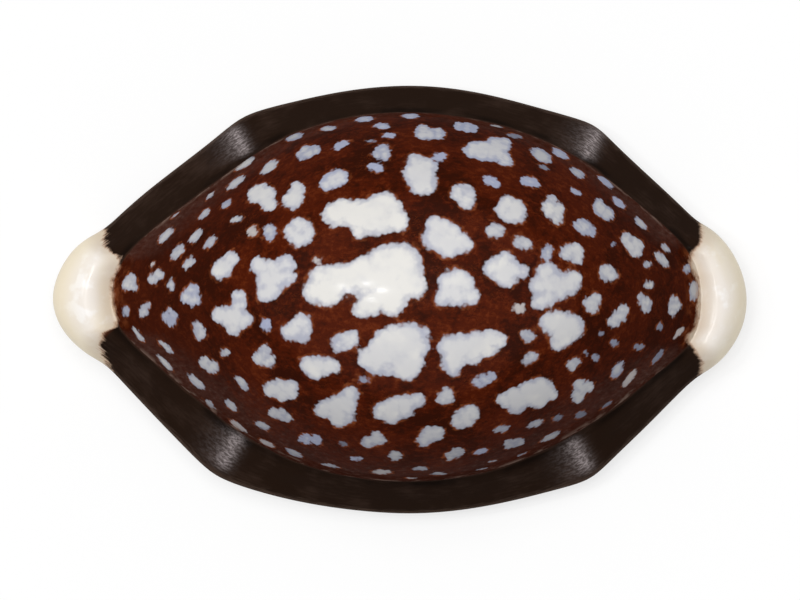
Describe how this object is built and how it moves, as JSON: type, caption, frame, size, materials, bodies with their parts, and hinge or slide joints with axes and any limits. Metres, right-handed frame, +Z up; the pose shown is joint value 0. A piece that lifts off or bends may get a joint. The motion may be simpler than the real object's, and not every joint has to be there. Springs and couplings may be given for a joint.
{
  "type": "cowrie shell",
  "caption": "Small humped sea-snail shell with a thick margin, rounded end knobs and a narrow toothed slit underneath, lying on its flat side.",
  "frame": {"origin": "on the surface the shell rests on, under the middle of its outline", "axes": "+X along the shell to its hind end, +Y to the side of the outer lip, +Z up through the hump of the back"},
  "size_m": [0.0347, 0.0214, 0.0156],
  "materials": {
    "shell": "glossy red-brown back with pale spots, almost black margin, cream ends and lips"
  },
  "bodies": {
    "root": {"shell": "shell"}
  },
  "joints": []
}
